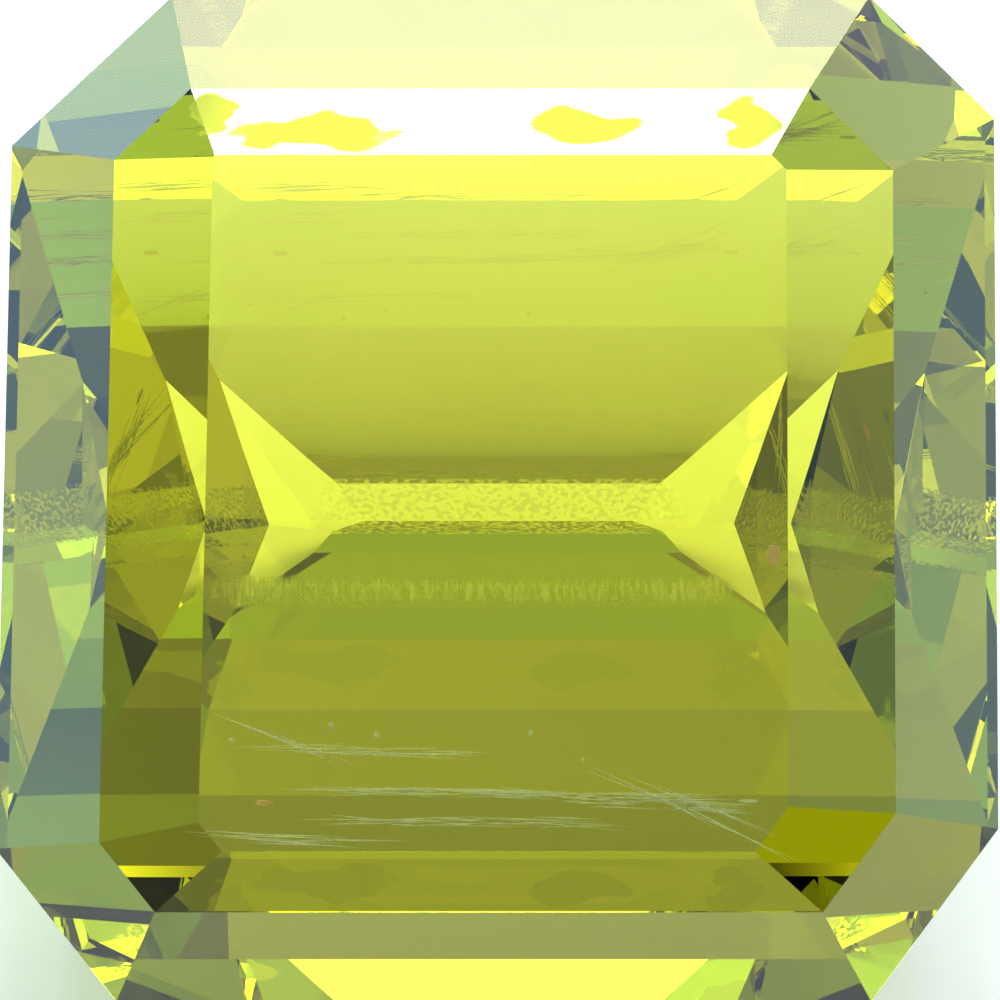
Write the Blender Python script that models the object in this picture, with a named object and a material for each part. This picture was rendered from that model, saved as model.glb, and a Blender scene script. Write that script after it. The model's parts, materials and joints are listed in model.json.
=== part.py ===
"""Faceted alexandrite: one polished crystal in a near-square step cut with clipped corners.

The stone is made as a cutter makes it. A block of rough is ground flat by flat: the table, two steps of
crown facets, a thin girdle and three steps of pavilion facets that meet in a short keel. Every flat is one
plane, and the values below are the cutting list: the way each side faces, its slopes and its places.

Stone frame: +Z out of the table, +Y towards the back, origin on the axis at girdle height. At the end the
stone is laid on its front main pavilion facet, as it would lie on a table, so its own table faces front
and up. Metres, +Z up.
"""
import math

import bmesh
import bpy
from mathutils import Matrix, Vector

MM = 0.001

# Girdle: the upright band between crown and pavilion
GIRDLE = 0.09 * MM

# Each side: its kind, the way it faces, its distance from the axis and how far in its two crown steps run
SIDES = (
    ("side", 0.0, 3.77, (0.79, 0.81)),
    ("corner", 45.0, 4.74, (0.90, 0.59)),
    ("back", 90.0, 3.88, (0.80, 0.54)),
    ("corner", 133.5, 4.54, (0.69, 0.52)),
    ("side", 179.0, 3.77, (0.80, 0.75)),
    ("corner", 218.5, 4.65, (0.62, 0.67)),
    ("front", 270.0, 3.83, (0.62, 0.44)),
    ("corner", 323.5, 4.53, (0.67, 0.67)),
)
CROWN_RISES = (0.485, 0.165)

# Pavilion: the slope of the step under the girdle, then for each later step its slope and how far from
# the axis it comes down to the keel's level
KEEL_DEPTH = 4.59 * MM
PAVILION = {
    "back": (69.5, (39.7, 0.235), (33.1, 0.175)),
    "front": (61.0, (40.8, -0.115), (33.7, -0.175)),
    "side": (74.5, (55.3, 1.635), (54.2, 1.62)),
    "corner": (80.0, (28.3, 0.87), (27.7, 0.855)),
}

BODY_COLOUR = (0.62, 0.66, 0.08, 1.0)
REFRACTION = 1.75


def crown_flats(out, reach, runs):
    """The crown facets of one side, each as a point on it and its outward normal."""
    place = out * reach + Vector((0, 0, GIRDLE / 2))
    for inwards, rise in zip(runs, CROWN_RISES):
        yield place.copy(), (out * rise + Vector((0, 0, inwards))).normalized()
        place += (Vector((0, 0, rise)) - out * inwards) * MM


def pavilion_flats(out, reach, steps):
    """The pavilion facets of one side, each as a point on it and its outward normal."""
    slope, *later = steps
    places = [(slope, out * reach - Vector((0, 0, GIRDLE / 2)))]
    for angle, across in later:
        places.append((angle, out * across * MM - Vector((0, 0, GIRDLE / 2 + KEEL_DEPTH))))
    for angle, place in places:
        lean = math.radians(angle)
        yield place, out * math.sin(lean) - Vector((0, 0, math.cos(lean)))


def flats():
    """Every facet of the stone as a point on it and its outward normal."""
    yield Vector((0, 0, GIRDLE / 2 + sum(CROWN_RISES) * MM)), Vector((0, 0, 1))
    for kind, turn, distance, runs in SIDES:
        out = Matrix.Rotation(math.radians(turn), 3, "Z") @ Vector((1, 0, 0))
        reach = distance * MM
        yield out * reach, out
        yield from crown_flats(out, reach, runs)
        yield from pavilion_flats(out, reach, PAVILION[kind])


def grind(bm, place, normal):
    """Takes off all of the crystal outside one plane and closes it with a flat facet."""
    everything = bm.verts[:] + bm.edges[:] + bm.faces[:]
    cut = bmesh.ops.bisect_plane(bm, geom=everything, dist=1e-9, plane_co=place, plane_no=normal, clear_outer=True)
    rim = [item for item in cut["geom_cut"] if isinstance(item, bmesh.types.BMEdge)]
    if rim:
        bmesh.ops.contextual_create(bm, geom=rim)


def crystal():
    """The cut stone's mesh in its own frame."""
    bm = bmesh.new()
    bmesh.ops.create_cube(bm, size=24 * MM)
    for place, normal in flats():
        grind(bm, place, normal)
    bmesh.ops.remove_doubles(bm, verts=bm.verts, dist=2e-6)
    bmesh.ops.recalc_face_normals(bm, faces=bm.faces)
    mesh = bpy.data.meshes.new("cut_stone")
    bm.to_mesh(mesh)
    bm.free()
    return mesh


def polished_crystal():
    """Clear yellow-green alexandrite with a gem polish."""
    material = bpy.data.materials.new("alexandrite")
    material.use_nodes = True
    shader = material.node_tree.nodes["Principled BSDF"]
    shader.inputs["Base Color"].default_value = BODY_COLOUR
    shader.inputs["Roughness"].default_value = 0.02
    shader.inputs["Metallic"].default_value = 0.0
    shader.inputs["IOR"].default_value = REFRACTION
    shader.inputs["Transmission Weight"].default_value = 1.0
    material.diffuse_color = BODY_COLOUR
    return material


def lay_down(stone):
    """Turns the stone onto its front main pavilion facet and sets that facet on the ground, centred."""
    front_main = PAVILION["front"][1]
    stone.rotation_euler = (math.radians(front_main[0]), 0, 0)
    turn = stone.rotation_euler.to_matrix()
    places = [turn @ vertex.co for vertex in stone.data.vertices]
    low = Vector([min(place[axis] for place in places) for axis in range(3)])
    high = Vector([max(place[axis] for place in places) for axis in range(3)])
    stone.location = (-(low.x + high.x) / 2, -(low.y + high.y) / 2, -low.z)


def main():
    for ob in list(bpy.data.objects):
        bpy.data.objects.remove(ob, do_unlink=True)
    stone = bpy.data.objects.new("cut_stone", crystal())
    bpy.context.scene.collection.objects.link(stone)
    stone.data.materials.append(polished_crystal())
    lay_down(stone)
    bpy.context.view_layer.update()


main()
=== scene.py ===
"""Looks of the faceted alexandrite: a clear yellow-green step-cut crystal lying loose on a pale table."""
import json
import math
import random

import bmesh
import bpy
from mathutils import Matrix, Vector


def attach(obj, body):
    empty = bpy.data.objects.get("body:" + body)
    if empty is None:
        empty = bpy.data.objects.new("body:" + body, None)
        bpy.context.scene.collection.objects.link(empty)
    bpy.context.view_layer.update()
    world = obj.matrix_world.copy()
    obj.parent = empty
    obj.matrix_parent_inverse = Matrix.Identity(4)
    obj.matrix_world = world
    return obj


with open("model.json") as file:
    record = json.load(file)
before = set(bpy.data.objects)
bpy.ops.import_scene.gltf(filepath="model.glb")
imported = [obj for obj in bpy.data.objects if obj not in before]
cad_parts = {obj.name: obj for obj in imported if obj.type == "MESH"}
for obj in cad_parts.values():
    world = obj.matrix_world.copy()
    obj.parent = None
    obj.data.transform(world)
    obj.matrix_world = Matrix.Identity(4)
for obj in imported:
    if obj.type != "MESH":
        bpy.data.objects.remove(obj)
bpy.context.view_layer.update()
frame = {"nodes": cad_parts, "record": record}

# The cut stone: one clear chrysoberyl crystal, ground and gem polished flat by flat, with nothing fixed to
# it. It lies loose on the front main facet of its pavilion, so its table leans to the front. Its colour is
# its own absorption over the depth that the light crosses, and its gloss is the polish.
MM = 0.001
REFRACTION = 1.75
TINT, TINT_DENSITY = (0.946, 0.940, 0.143, 1.0), 700.0
stone = frame["nodes"]["cut_stone"]
table_facet = next(mount for mount in frame["record"]["mounts"] if mount["name"] == "table_facet")
table_lean = math.atan2(-table_facet["axis"][1], table_facet["axis"][2])

# the stone's own frame starts in the middle of its girdle, with +Z out of its table and +Y towards its
# back, and the middle of the table has this place in it
TABLE_MIDDLE = Vector((-0.0289, -0.1183, 0.6951)) * MM
lean = Matrix.Rotation(table_lean, 4, "X")
girdle_centre = Vector(table_facet["pos_m"]) - lean @ TABLE_MIDDLE
in_stone = Matrix.Translation(girdle_centre) @ lean

crystal = bpy.data.materials.new("alexandrite")
crystal.use_nodes = True
tree = crystal.node_tree
polish = tree.nodes["Principled BSDF"]
polish.inputs["Base Color"].default_value = (1.0, 1.0, 1.0, 1.0)
polish.inputs["Metallic"].default_value = 0.0
polish.inputs["IOR"].default_value = REFRACTION
polish.inputs["Transmission Weight"].default_value = 1.0
tint = tree.nodes.new("ShaderNodeVolumeAbsorption")
tint.inputs["Color"].default_value = TINT
tint.inputs["Density"].default_value = TINT_DENSITY
tree.links.new(tint.outputs["Volume"], tree.nodes["Material Output"].inputs["Volume"])


def stone_places(tree):
    """The shaded place in the stone's own frame."""
    places = tree.nodes.new("ShaderNodeTexCoord")
    turned = tree.nodes.new("ShaderNodeMapping")
    turned.vector_type = "TEXTURE"
    turned.inputs["Location"].default_value = girdle_centre
    turned.inputs["Rotation"].default_value = (table_lean, 0.0, 0.0)
    tree.links.new(places.outputs["Object"], turned.inputs["Vector"])
    return turned.outputs["Vector"]


# one group serves every mottled or grainy material: noise whose grains can be drawn out along the axes
grainy = bpy.data.node_groups.new("grainy", "ShaderNodeTree")
grainy.interface.new_socket("Vector", in_out="INPUT", socket_type="NodeSocketVector")
grainy.interface.new_socket("Grains per metre", in_out="INPUT", socket_type="NodeSocketVector")
grainy.interface.new_socket("Detail", in_out="INPUT", socket_type="NodeSocketFloat")
grainy.interface.new_socket("Mask", in_out="OUTPUT", socket_type="NodeSocketFloat")
given = grainy.nodes.new("NodeGroupInput")
drawn = grainy.nodes.new("ShaderNodeMapping")
noise = grainy.nodes.new("ShaderNodeTexNoise")
noise.inputs["Scale"].default_value = 1.0
grainy.links.new(given.outputs["Vector"], drawn.inputs["Vector"])
grainy.links.new(given.outputs["Grains per metre"], drawn.inputs["Scale"])
grainy.links.new(drawn.outputs["Vector"], noise.inputs["Vector"])
grainy.links.new(given.outputs["Detail"], noise.inputs["Detail"])
grainy.links.new(noise.outputs["Fac"], grainy.nodes.new("NodeGroupOutput").inputs["Mask"])


def speckle(tree, vector, stretch, size, detail):
    """Places the grainy group in a material, with grains of one size drawn out by stretch."""
    placed = tree.nodes.new("ShaderNodeGroup")
    placed.node_tree = grainy
    placed.inputs["Grains per metre"].default_value = [1 / (size * pull) for pull in stretch]
    placed.inputs["Detail"].default_value = detail
    tree.links.new(vector, placed.inputs["Vector"])
    return placed.outputs["Mask"]


def within(tree, value, low, high, soft):
    """Mask that is one where value lies between low and high."""
    masks = []
    for start, end in ((low, low + soft), (high, high - soft)):
        ramp = tree.nodes.new("ShaderNodeMapRange")
        ramp.inputs["From Min"].default_value = start
        ramp.inputs["From Max"].default_value = end
        tree.links.new(value, ramp.inputs["Value"])
        masks.append(ramp.outputs["Result"])
    return times(tree, *masks)


def in_box(tree, axes, box):
    """Mask of a box: its low end, high end and soft edge in mm on each axis that it names."""
    masks = [
        within(tree, axes[axis], low * MM, high * MM, soft * MM)
        for axis, (low, high, soft) in box.items()
    ]
    mask = masks[0]
    for other in masks[1:]:
        mask = times(tree, mask, other)
    return mask


def times(tree, one, other):
    """Product of a value and another value or plain number."""
    product = tree.nodes.new("ShaderNodeMath")
    product.operation = "MULTIPLY"
    tree.links.new(one, product.inputs[0])
    if isinstance(other, float):
        product.inputs[1].default_value = other
    else:
        tree.links.new(other, product.inputs[1])
    return product.outputs["Value"]


def plus(tree, one, other):
    """Sum of two values."""
    total = tree.nodes.new("ShaderNodeMath")
    tree.links.new(one, total.inputs[0])
    tree.links.new(other, total.inputs[1])
    return total.outputs["Value"]


# The polish is even but for three dull places, each a box in the stone's own frame. A faint dry smear
# crosses the table below its middle.
places = stone_places(tree)
split = tree.nodes.new("ShaderNodeSeparateXYZ")
tree.links.new(places, split.inputs["Vector"])
axes = split.outputs
SMEAR_BOX = {"Y": (-0.95, -0.65, 0.10), "Z": (0.68, 0.80, 0.002), "X": (-2.45, 1.85, 0.3)}
SMEAR_ROUGHNESS, STREAK_SIZE = 0.62, 0.03 * MM
streaks = speckle(tree, places, (1, 5, 1), STREAK_SIZE, 0.0)
dull = times(tree, times(tree, in_box(tree, axes, SMEAR_BOX), streaks), SMEAR_ROUGHNESS)

# grains are left unpolished in the last back facet over the keel
KEEL_BOX = {"Z": (-4.7, -4.42, 0.02), "Y": (0.17, 0.7, 0.01), "X": (-1.6, 1.6, 0.3)}
GRAIN_ROUGHNESS, GRAIN_SIZE = 0.4, 0.035 * MM
GRAIN_START, GRAIN_SOFT = 0.44, 0.16
grains = speckle(tree, places, (1.3, 1, 1), GRAIN_SIZE, 0.0)
grains = within(tree, grains, GRAIN_START, 2.0, GRAIN_SOFT)
grains = times(tree, in_box(tree, axes, KEEL_BOX), grains)
dull = plus(tree, dull, times(tree, grains, GRAIN_ROUGHNESS))

# dried spots dull the upper back crown facet: each one's middle, across and towards the back, and half its
# size in both, in mm
SPOTS = (
    (-1.15, 2.87, 0.68, 0.15),
    (0.85, 2.92, 0.42, 0.17),
    (2.15, 2.97, 0.22, 0.22),
    (-1.95, 3.02, 0.22, 0.17),
)
SPOT_BOX = {"Z": (0.50, 0.69, 0.004)}
SPOT_ROUGHNESS, SPOT_SOFT = 0.4, 0.15
SPOT_LEVEL, SPOT_DEPTH = 0.6 * MM, 0.3 * MM
RAG_SIZE, RAG_REACH = 0.16 * MM, (0.5 * MM, 0.3 * MM, 0.0)
ragged = tree.nodes.new("ShaderNodeVectorMath")
ragged.operation = "MULTIPLY_ADD"
ragged.inputs[1].default_value = RAG_REACH
tree.links.new(speckle(tree, places, (2.5, 1, 1), RAG_SIZE, 1.0), ragged.inputs[0])
tree.links.new(places, ragged.inputs[2])
spots = []
for across, up, wide, high in SPOTS:
    spot = tree.nodes.new("ShaderNodeMapping")
    spot.vector_type = "TEXTURE"
    spot.inputs["Location"].default_value = (across * MM, up * MM, SPOT_LEVEL)
    spot.inputs["Scale"].default_value = (wide * MM, high * MM, SPOT_DEPTH)
    reach = tree.nodes.new("ShaderNodeVectorMath")
    reach.operation = "LENGTH"
    tree.links.new(ragged.outputs["Vector"], spot.inputs["Vector"])
    tree.links.new(spot.outputs["Vector"], reach.inputs[0])
    spots.append(within(tree, reach.outputs["Value"], -1.0, 1.0, SPOT_SOFT))
spots = plus(tree, plus(tree, spots[0], spots[1]), plus(tree, spots[2], spots[3]))
spots = times(tree, spots, in_box(tree, axes, SPOT_BOX))
dull = plus(tree, dull, times(tree, spots, SPOT_ROUGHNESS))
tree.links.new(dull, polish.inputs["Roughness"])
stone.material_slots[0].material = crystal

# the edges between the facets are worn by a few microns
EDGE_WEAR = 0.007 * MM
SLIGHTEST_EDGE = math.radians(4.0)
worn = stone.modifiers.new("worn_edges", "BEVEL")
worn.width = EDGE_WEAR
worn.segments = 1
worn.limit_method = "ANGLE"
worn.angle_limit = SLIGHTEST_EDGE

# Inclusions: silk, which is fine pale mineral needles that grew inside the crystal in rows, and a few small
# grains, pale or orange; the orange colour is painted glints. They are part of the rough, so nothing holds
# them but the crystal round them.
# They lie just under the table, most of them across its lower third.
SILK_LEVEL, SILK_LAYER = 0.57 * MM, 0.12 * MM
VIEW_SHIFT = 0.085 * MM
STAIN_SIZE, STAIN_SHARE = 0.08 * MM, 0.8
chance = random.Random(7)


def under_table(across, down):
    """Place in the silk's layer that the camera sees this far across and down from the middle, in mm."""
    level = SILK_LEVEL - chance.random() * SILK_LAYER
    return in_stone @ Vector((across * MM, -down * MM - VIEW_SHIFT, level))


def inclusion(name, bm, colour, roughness):
    """Makes one piece of a bmesh, in a mineral of its own, and fixes it in the stone."""
    mesh = bpy.data.meshes.new(name)
    bm.to_mesh(mesh)
    bm.free()
    piece = bpy.data.objects.new(name, mesh)
    bpy.context.scene.collection.objects.link(piece)
    mineral = bpy.data.materials.new(name)
    mineral.use_nodes = True
    look = mineral.node_tree.nodes["Principled BSDF"]
    look.inputs["Roughness"].default_value = roughness
    where = mineral.node_tree.nodes.new("ShaderNodeTexCoord").outputs["Object"]
    stains = speckle(mineral.node_tree, where, (1, 1, 1), STAIN_SIZE, 2.0)
    stained = mineral.node_tree.nodes.new("ShaderNodeMix")
    stained.data_type = "RGBA"
    stained.inputs["A"].default_value = (*[part * STAIN_SHARE for part in colour], 1.0)
    stained.inputs["B"].default_value = (*colour, 1.0)
    mineral.node_tree.links.new(stains, stained.inputs["Factor"])
    mineral.node_tree.links.new(stained.outputs["Result"], look.inputs["Base Color"])
    mesh.materials.append(mineral)
    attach(piece, "root")


# the needles: the range of half their length in mm, how much of their row they may be centred on, how far
# they turn from it in degrees, and their thickness
HALF_LENGTHS, ROW_PART, TURN = (0.12, 0.60), (0.08, 0.92), 2
NEEDLE_RADIUS, RADIUS_RANGE = 0.006 * MM, (0.6, 1.3)

# each row: where it starts and ends, across and down in mm, how far its needles stray and how many it has
silk = bmesh.new()
for x0, y0, x1, y1, stray, count in (
    (-1.65, 2.20, 1.85, 2.27, 0.03, 46),
    (0.45, 2.28, 1.80, 2.34, 0.04, 20),
    (-1.50, 2.42, 1.05, 2.47, 0.04, 24),
    (-2.00, 2.57, -0.75, 2.60, 0.04, 12),
    (-1.85, 1.89, -0.15, 1.92, 0.04, 18),
    (-1.95, 1.70, -1.30, 1.95, 0.02, 6),
    (0.75, 2.07, 1.85, 2.57, 0.02, 9),
    (1.05, 2.15, 1.90, 2.47, 0.02, 8),
):
    start, run = Vector((x0, y0)), Vector((x1 - x0, y1 - y0))
    for _ in range(count):
        half_length = chance.uniform(*HALF_LENGTHS) * min(1.0, run.length)
        middle = start + run * chance.uniform(*ROW_PART) + Vector((0, chance.uniform(-stray, stray)))
        half = Matrix.Rotation(math.radians(chance.gauss(0, TURN)), 2) @ run.normalized() * half_length
        ends = [under_table(*(middle + half * side)) for side in (-1, 1)]
        along = (ends[1] - ends[0]).normalized()
        sideways = along.orthogonal().normalized() * NEEDLE_RADIUS * chance.uniform(*RADIUS_RANGE)
        belt = [Matrix.Rotation(math.radians(turn), 3, along) @ sideways for turn in (0, 120, 240)]
        belt = [silk.verts.new(ends[0].lerp(ends[1], 0.5) + reach) for reach in belt]
        for tip in ends:
            point = silk.verts.new(tip)
            for one in range(3):
                silk.faces.new((belt[one], belt[(one + 1) % 3], point))
bmesh.ops.recalc_face_normals(silk, faces=silk.faces)
inclusion("silk_needles", silk, (1.0, 1.0, 0.85), 0.3)

# two pieces of grains, each grain with its place across and down and half its size in both, in mm
GRAIN_THICKNESS, LUMPINESS = 0.012 * MM, 0.12
for name, colour, grains in (
    # painted glints: the orange colour of these two grains stands in for two orange glints in the stone
    ("painted_glint_grains", (1.0, 0.62, 0.18), (
        (2.065, 0.42, 0.055, 0.085), (-1.78, 2.30, 0.07, 0.025),
    )),
    ("pale_grains", (0.9, 0.92, 0.6), (
        (-1.27, 1.72, 0.022, 0.025), (-0.93, 1.79, 0.02, 0.022), (0.23, 1.77, 0.022, 0.02),
        (1.87, 2.29, 0.08, 0.014), (-2.02, 1.83, 0.022, 0.015), (0.62, 1.98, 0.015, 0.015),
    )),
):
    clump = bmesh.new()
    for across, down, wide, high in grains:
        place = Matrix.Translation(under_table(across, down)) @ in_stone.to_3x3().to_4x4()
        shape = Matrix.Diagonal((wide * MM, high * MM, GRAIN_THICKNESS, 1.0))
        new = bmesh.ops.create_icosphere(clump, subdivisions=2, radius=1.0)["verts"]
        for vertex in new:
            vertex.co *= 1.0 + chance.uniform(-LUMPINESS, LUMPINESS)
        bmesh.ops.transform(clump, matrix=place @ shape, verts=new)
    inclusion(name, clump, colour, 0.5)

# The table top: a sheet of matt white card that the loose stone lies on, a hair clear of its resting facet.
# The card is pressed paper pulp, whose fibres show as a faint mottle.
CARD_SIZE, HAIR = 2.0, 0.02 * MM
FIBRE_SIZE = 0.5 * MM
bpy.ops.mesh.primitive_plane_add(size=CARD_SIZE, location=(0.0, 0.0, -HAIR))
table_top = bpy.context.object
table_top.name = "table_top"
card = bpy.data.materials.new("matt_card")
card.use_nodes = True
card_face = card.node_tree.nodes["Principled BSDF"]
card_face.inputs["Roughness"].default_value = 0.9
on_card = card.node_tree.nodes.new("ShaderNodeTexCoord").outputs["Object"]
mottle = card.node_tree.nodes.new("ShaderNodeMix")
mottle.data_type = "RGBA"
mottle.inputs["A"].default_value = (0.94, 0.89, 0.87, 1.0)
mottle.inputs["B"].default_value = (0.98, 0.93, 0.91, 1.0)
fibres = speckle(card.node_tree, on_card, (2, 1, 1), FIBRE_SIZE, 2.0)
card.node_tree.links.new(fibres, mottle.inputs["Factor"])
card.node_tree.links.new(mottle.outputs["Result"], card_face.inputs["Base Color"])
table_top.data.materials.append(card)

# Soft studio light: a dark room with large round panels of light that fade out to their edges. The
# brightest stand low behind the stone and the dimmest in front. Two small bright ones overhead show in the
# back crown facets.
world = bpy.data.worlds.new("studio")
bpy.context.scene.world = world
world.use_nodes = True
room = world.node_tree
room_light = room.nodes["Background"]
looking = room.nodes.new("ShaderNodeTexCoord")
ROOM_COLOUR = (0.01, 0.01, 0.02)
WHITE, SKY, COOL, COLD = (0.96, 1.03, 1.01), (0.86, 0.95, 1.2), (0.70, 1.05, 1.1), (0.60, 0.97, 1.25)
LIME, WARM = (1.0, 1.15, 0.82), (1.08, 1.12, 0.75)
walls = room.nodes.new("ShaderNodeCombineXYZ")
for socket, value in zip(walls.inputs, ROOM_COLOUR):
    socket.default_value = value
lit = walls.outputs["Vector"]


def panel(lit, name, azimuth, elevation, reach, brightness, colour):
    """Adds a round panel that fades out at reach degrees; azimuth 0 is the back and 90 the right."""
    a, e = math.radians(azimuth), math.radians(elevation)
    facing = room.nodes.new("ShaderNodeVectorMath")
    facing.operation = "DOT_PRODUCT"
    facing.inputs[1].default_value = (math.sin(a) * math.cos(e), math.cos(a) * math.cos(e), math.sin(e))
    fade = room.nodes.new("ShaderNodeMapRange")
    fade.interpolation_type = "SMOOTHSTEP"
    fade.inputs["From Min"].default_value = math.cos(math.radians(reach))
    fade.inputs["From Max"].default_value = math.cos(math.radians(reach / 4))
    glow = room.nodes.new("ShaderNodeVectorMath")
    glow.name = name
    glow.operation = "MULTIPLY_ADD"
    glow.inputs[1].default_value = [brightness * share for share in colour]
    room.links.new(looking.outputs["Generated"], facing.inputs[0])
    room.links.new(facing.outputs["Value"], fade.inputs["Value"])
    room.links.new(fade.outputs["Result"], glow.inputs[0])
    room.links.new(lit, glow.inputs[2])
    return glow.outputs["Vector"]


# the panels' places and brightness are rounded from a fit to the photograph, and a few are set one by one
SOFT = 26
for name, azimuth, elevation, reach, brightness, colour in (
    ("back_right_panel", 60, 30, SOFT, 7.3, SKY),
    ("back_left_panel", 300, 30, SOFT, 4.6, COOL),
    ("back_panel", 0, 30, SOFT, 2.9, SKY),
    ("low_back_panel", 0, 8, SOFT, 0.95, WHITE),
    ("low_back_right_panel", 60, 8, SOFT, 1.9, WHITE),
    ("low_back_left_panel", 300, 8, SOFT, 1.8, WHITE),
    ("back_right_fill", 30, 30, SOFT, 0.9, WHITE),
    ("back_left_fill", 330, 30, SOFT, 0.5, WHITE),
    ("left_panel", 270, 30, SOFT, 1.35, COLD),
    ("right_panel", 90, 30, SOFT, 0.75, COOL),
    ("low_left_panel", 270, 8, SOFT, 1.05, COOL),
    ("low_right_panel", 90, 8, SOFT, 2.0, COOL),
    ("high_left_fill", 270, 74, SOFT, 0.5, COOL),
    ("high_right_fill", 90, 74, SOFT, 0.7, COLD),
    ("low_front_fill", 180, 8, SOFT, 0.3, LIME),
    ("low_front_left_fill", 210, 8, SOFT, 0.7, WHITE),
    ("front_fill", 180, 30, SOFT, 0.15, LIME),
    ("front_left_fill", 200, 52, SOFT, 0.38, LIME),
    ("high_front_fill", 180, 74, SOFT, 0.2, LIME),
    ("front_right_panel", 142, 51, 9, 0.46, COLD),
    ("high_back_fill", 0, 70, 12, 0.28, LIME),
):
    lit = panel(lit, name, azimuth, elevation, reach, brightness, colour)

# the two small ones are for the stone alone: light that has met the table top goes without them
small = panel(lit, "crown_panel", 0, 60, 7.3, 8.3, WARM)
small = panel(small, "overhead_panel", 0, 88, 5, 15.0, WHITE)
paths = room.nodes.new("ShaderNodeLightPath")
seen = room.nodes.new("ShaderNodeMix")
seen.data_type = "RGBA"
room.links.new(paths.outputs["Diffuse Depth"], seen.inputs["Factor"])
room.links.new(small, seen.inputs["A"])
room.links.new(lit, seen.inputs["B"])
room.links.new(seen.outputs["Result"], room_light.inputs["Color"])

# Camera in front of the stone, looking down on its table from a little below the table's normal.
VIEW_TILT = math.radians(8.3)
CAMERA_DISTANCE = 91.2 * MM
FRAME_WIDTH = 7.6 * MM
SENSOR_WIDTH = 36.0
elevation = math.pi / 2 - table_lean - VIEW_TILT
back = Vector((0.0, -math.cos(elevation), math.sin(elevation)))
camera_data = bpy.data.cameras.new("camera")
camera = bpy.data.objects.new("camera", camera_data)
bpy.context.scene.collection.objects.link(camera)
camera.location = girdle_centre + back * CAMERA_DISTANCE
camera.rotation_euler = back.to_track_quat("Z", "Y").to_euler()
camera_data.sensor_width = SENSOR_WIDTH
camera_data.lens = SENSOR_WIDTH * CAMERA_DISTANCE / FRAME_WIDTH
camera_data.clip_start = 1.0 * MM
scene = bpy.context.scene
scene.camera = camera
scene.view_settings.view_transform = "Standard"

# light meets many facets inside the stone, and little else
FACETS_MET, CARD_MET, BRIGHTEST_SPARK = 12, 2, 4.0
scene.cycles.max_bounces = FACETS_MET
scene.cycles.transmission_bounces = FACETS_MET
scene.cycles.glossy_bounces = FACETS_MET
scene.cycles.diffuse_bounces = CARD_MET
scene.cycles.sample_clamp_indirect = BRIGHTEST_SPARK
